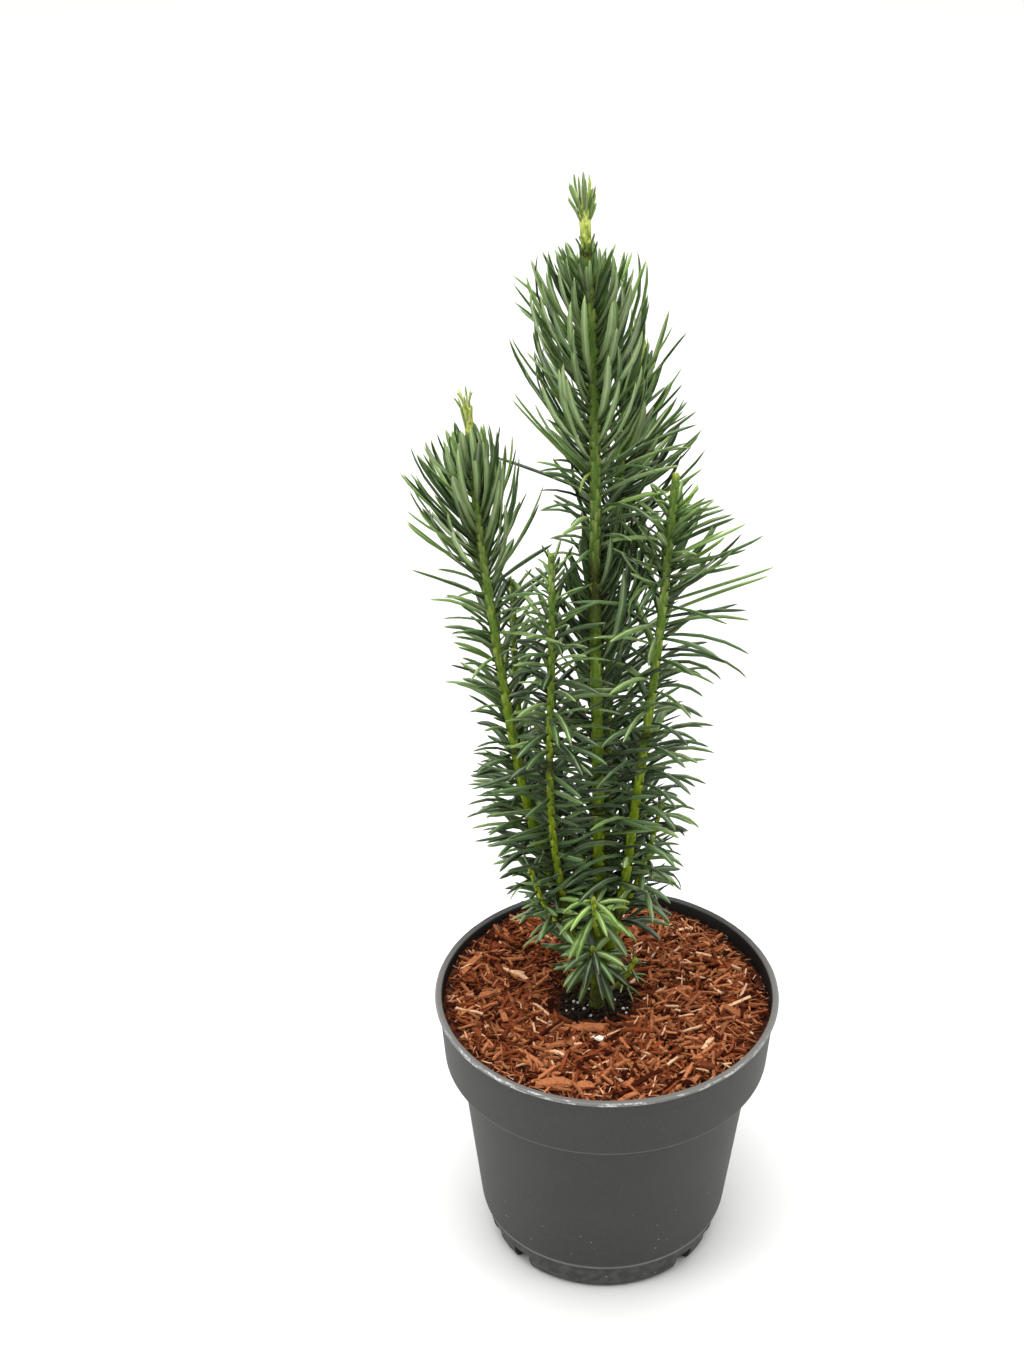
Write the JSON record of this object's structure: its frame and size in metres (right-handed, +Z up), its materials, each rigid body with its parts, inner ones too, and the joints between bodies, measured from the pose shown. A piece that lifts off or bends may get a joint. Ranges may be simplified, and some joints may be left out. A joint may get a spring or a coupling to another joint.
{
  "type": "potted fastigiata japanese plum yew",
  "caption": "Upright Japanese plum yew with whorled dark green needle leaves and pale growing tips, in a round dark grey nursery pot filled with soil and topped with shredded bark.",
  "frame": {"origin": "middle of the pot's flat underside, on the pot's axis", "axes": "+Z up along the pot's axis; -Y towards the side that the plant is seen from, +X to its right"},
  "size_m": [0.2041, 0.2, 0.6509],
  "materials": {
    "pot_plastic": "moulded dark grey polypropylene, matt, rubbed paler along the lip",
    "potting_soil": "moist crumbly peat mix",
    "peat": "black moist peat with white perlite grains",
    "bark_chips": "shredded red brown conifer bark",
    "stem_bark": "green ridged young bark, browner at the growth rings",
    "leaf_green": "waxy dark green needle leaf with a pale midrib",
    "leaf_young": "soft yellow green new growth"
  },
  "bodies": {
    "root": {"pot": "pot_plastic", "potting_soil": "potting_soil", "root_plug": "peat", "bark_mulch": "bark_chips", "stem_centre": "stem_bark", "stem_inner_left": "stem_bark", "stem_right": "stem_bark", "stem_back": "stem_bark", "stem_left": "stem_bark", "stem_back_left": "stem_bark", "shoot_front_low": "stem_bark", "shoot_front_middle": "stem_bark", "shoot_front_high": "stem_bark", "shoot_right_short": "stem_bark", "shoot_left_short": "stem_bark", "shoot_back_short_left": "stem_bark", "shoot_back_short_right": "stem_bark", "leaves_centre_tip": "leaf_young", "leaves_centre_top": "leaf_green", "leaves_left_top": "leaf_green", "leaves_back_top": "leaf_green", "leaves_right_top": "leaf_green", "leaves_left_tip": "leaf_young", "leaves_back_tip": "leaf_young", "leaves_centre_upper": "leaf_green", "leaves_inner_left_upper": "leaf_green", "leaves_back_left_upper": "leaf_green", "leaves_right_middle": "leaf_green", "leaves_left_middle": "leaf_green", "leaves_back_middle": "leaf_green", "leaves_centre_middle": "leaf_green", "leaves_right_lower": "leaf_green", "leaves_left_lower": "leaf_green", "leaves_back_lower": "leaf_green", "leaves_centre_lower": "leaf_green", "leaves_inner_left_lower": "leaf_green", "leaves_back_left_lower": "leaf_green", "leaves_front_high_spray": "leaf_young", "leaves_front_middle_spray": "leaf_green", "leaves_front_low_spray": "leaf_green", "leaves_right_short_spray": "leaf_green", "leaves_left_short_spray": "leaf_green", "leaves_back_short_left_spray": "leaf_green", "leaves_back_short_right_spray": "leaf_green"}
  },
  "joints": []
}
